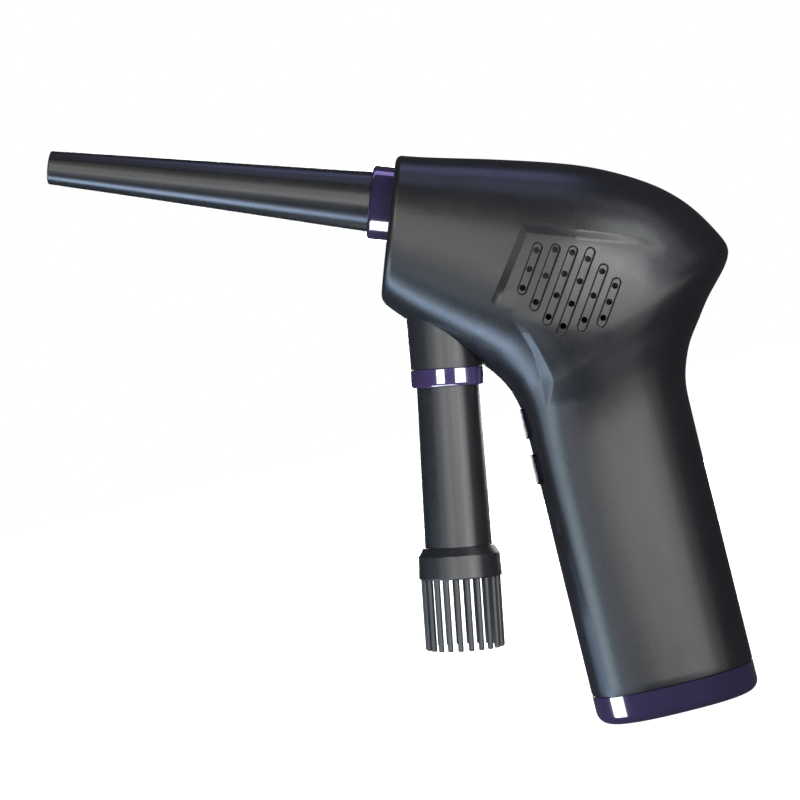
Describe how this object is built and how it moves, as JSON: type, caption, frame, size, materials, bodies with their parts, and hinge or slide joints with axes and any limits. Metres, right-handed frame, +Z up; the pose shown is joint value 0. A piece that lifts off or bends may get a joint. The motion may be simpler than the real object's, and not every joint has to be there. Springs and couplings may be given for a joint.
{
  "type": "cordless mini duster vacuum",
  "caption": "Pistol-shaped cordless mini duster vacuum: moulded casing with side vents, long pull-off blow nozzle, suction brush tool below, press keys on the grip, charging inlet in the foot.",
  "frame": {"origin": "centre of the flat underside of the grip's foot cap", "axes": "+Z up along the grip, -X the way the nozzle points (it rises 20 degrees), Y across the width"},
  "size_m": [0.1778, 0.052, 0.1908],
  "materials": {
    "shell_plastic": "satin",
    "trim_plastic": "gloss",
    "tool_plastic": "satin",
    "bristle_nylon": "matte",
    "seal_rubber": "matte",
    "duct_plastic": "matte",
    "screen_steel": "satin",
    "fan_plastic": "satin",
    "bright_steel": "satin",
    "magnet_steel": "satin",
    "can_steel": "satin",
    "core_steel": "satin",
    "coil_copper": "satin",
    "cell_wrap": "satin",
    "tray_plastic": "matte",
    "tab_nickel": "satin",
    "circuit_board": "satin",
    "chip_plastic": "matte",
    "wire_skin": "satin"
  },
  "bodies": {
    "housing": {"casing_left": "shell_plastic", "casing_right": "shell_plastic", "inlet_spout": "shell_plastic", "base_cap": "trim_plastic", "front_collar": "trim_plastic", "spout_collar": "trim_plastic", "duct_gasket": "seal_rubber", "mount_rings": "seal_rubber", "blow_duct": "duct_plastic", "fan_housing": "duct_plastic", "inlet_bell": "duct_plastic", "inlet_screen": "screen_steel", "motor_can": "can_steel", "motor_end_cap": "can_steel", "motor_bearings": "bright_steel", "stator_core": "core_steel", "stator_coils": "coil_copper", "casing_screws": "bright_steel", "board_screws": "bright_steel", "switch_bodies": "chip_plastic", "switch_board": "circuit_board", "control_board": "circuit_board", "charge_board": "circuit_board", "board_parts": "chip_plastic", "battery_cells": "cell_wrap", "battery_trays": "tray_plastic", "battery_tabs": "tab_nickel", "charge_socket": "bright_steel", "motor_leads": "wire_skin", "switch_leads": "wire_skin", "charge_leads": "wire_skin"},
    "nozzle_tool": {"nozzle": "tool_plastic", "nozzle_seal": "seal_rubber"},
    "tube_tool": {"brush_tube": "tool_plastic", "tube_seal": "seal_rubber"},
    "brush_tool": {"brush_head": "tool_plastic", "bristles": "bristle_nylon"},
    "upper_key": {"upper_button": "trim_plastic", "upper_plunger": "tray_plastic"},
    "lower_key": {"lower_button": "trim_plastic", "lower_plunger": "tray_plastic"},
    "rotor": {"impeller": "fan_plastic", "rotor_shaft": "bright_steel", "rotor_magnet": "magnet_steel"}
  },
  "joints": [
    {"name": "nozzle_pull", "type": "slide", "parent": "housing", "child": "nozzle_tool", "axis": [-0.9397, 0, 0.342], "range_m": [0, 0.017]},
    {"name": "tube_pull", "type": "slide", "parent": "housing", "child": "tube_tool", "axis": [-0.1736, 0, -0.9848], "range_m": [0, 0.014]},
    {"name": "brush_pull", "type": "slide", "parent": "tube_tool", "child": "brush_tool", "axis": [-0.1736, 0, -0.9848], "range_m": [0, 0.0055]},
    {"name": "upper_press", "type": "slide", "parent": "housing", "child": "upper_key", "axis": [1, 0, 0], "range_m": [0, 0.0008], "stiffness_N_per_m": 1500, "springref_m": -0.0006},
    {"name": "lower_press", "type": "slide", "parent": "housing", "child": "lower_key", "axis": [1, 0, 0], "range_m": [0, 0.0008], "stiffness_N_per_m": 1500, "springref_m": -0.0006},
    {"name": "rotor_spin", "type": "hinge", "parent": "housing", "child": "rotor", "pos_m": [0.00311, 0, 0.1255], "axis": [-0.9397, 0, 0.342], "continuous": true}
  ]
}
